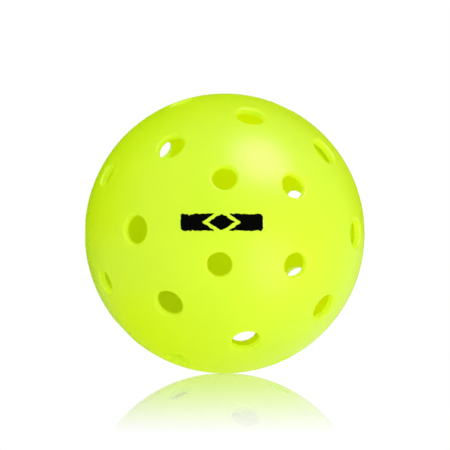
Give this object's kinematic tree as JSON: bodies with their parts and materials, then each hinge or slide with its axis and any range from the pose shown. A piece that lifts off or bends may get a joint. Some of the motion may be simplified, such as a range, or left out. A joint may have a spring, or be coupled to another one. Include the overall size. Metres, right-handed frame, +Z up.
{
  "type": "pickleball ball",
  "caption": "Hollow perforated plastic ball for outdoor pickleball: moulded half shells welded at the equator, with a small printed mark.",
  "frame": {"origin": "centre of the ball", "axes": "+Z up, as the ball lies on a level surface; the front pole of the hole pattern looks along -Y and is raised 3.3 degrees; +X is to the right of someone facing the front pole"},
  "size_m": [0.074, 0.074, 0.074],
  "materials": {
    "ball_plastic": "smooth satin moulded polyethylene, fluorescent yellow-green, slightly translucent",
    "weld_plastic": "remelted plastic of the same colour, trimmed flush outside",
    "ink": "black pad-printed ink"
  },
  "bodies": {
    "root": {"front_half_shell": "ball_plastic", "rear_half_shell": "ball_plastic", "weld_seam": "weld_plastic", "printed_mark": "ink"}
  },
  "joints": []
}
